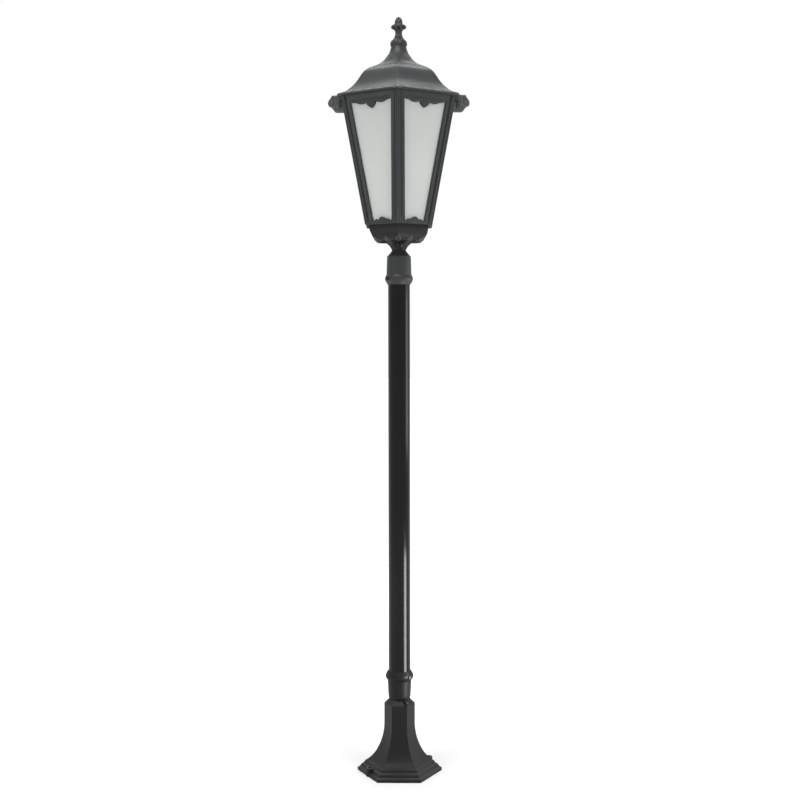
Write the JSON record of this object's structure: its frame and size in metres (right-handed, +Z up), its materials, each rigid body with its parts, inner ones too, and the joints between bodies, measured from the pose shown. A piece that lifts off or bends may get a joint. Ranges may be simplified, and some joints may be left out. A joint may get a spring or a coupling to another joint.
{
  "type": "street lantern",
  "caption": "Victorian style hexagonal street lantern with frosted panes, an ogee roof and a finial, on a round pole with a flared hexagonal foot.",
  "frame": {"origin": "centre of the foot's underside, on the axis of the pole", "axes": "+Z up along the pole, -Y to the front (a flat of the foot and a corner of the lantern), +X to the right"},
  "size_m": [0.3894, 0.3722, 2.0858],
  "materials": {
    "lantern_paint": "satin",
    "post_paint": "satin",
    "pole_paint": "gloss",
    "zinc_steel": "satin",
    "bright_screw": "satin",
    "brass": "satin",
    "frosted_glass": "matte",
    "porcelain": "gloss",
    "lamp_glass": "satin",
    "terminal_plastic": "matte"
  },
  "bodies": {
    "root": {"bowl_casting": "lantern_paint", "lantern_frame": "lantern_paint", "roof_casting": "lantern_paint", "finial": "lantern_paint", "side_console_right": "lantern_paint", "side_console_left": "lantern_paint", "upper_collar": "lantern_paint", "foot_casting": "post_paint", "lower_collar": "post_paint", "pole_tube": "pole_paint", "upper_collar_screws": "zinc_steel", "column_screw": "zinc_steel", "frame_screws": "zinc_steel", "pane_clips": "zinc_steel", "clip_screws": "zinc_steel", "bridge_bar": "zinc_steel", "bridge_screws": "zinc_steel", "roof_stud": "zinc_steel", "stud_nuts": "zinc_steel", "console_screws": "zinc_steel", "lamp_strip": "zinc_steel", "strip_screws": "zinc_steel", "lower_collar_screws": "bright_screw", "neck_nipple": "brass", "nipple_nuts": "brass", "pane_1": "frosted_glass", "pane_2": "frosted_glass", "pane_3": "frosted_glass", "pane_4": "frosted_glass", "pane_5": "frosted_glass", "pane_6": "frosted_glass", "lampholder": "porcelain", "bulb": "lamp_glass", "terminal_block": "terminal_plastic"}
  },
  "joints": []
}
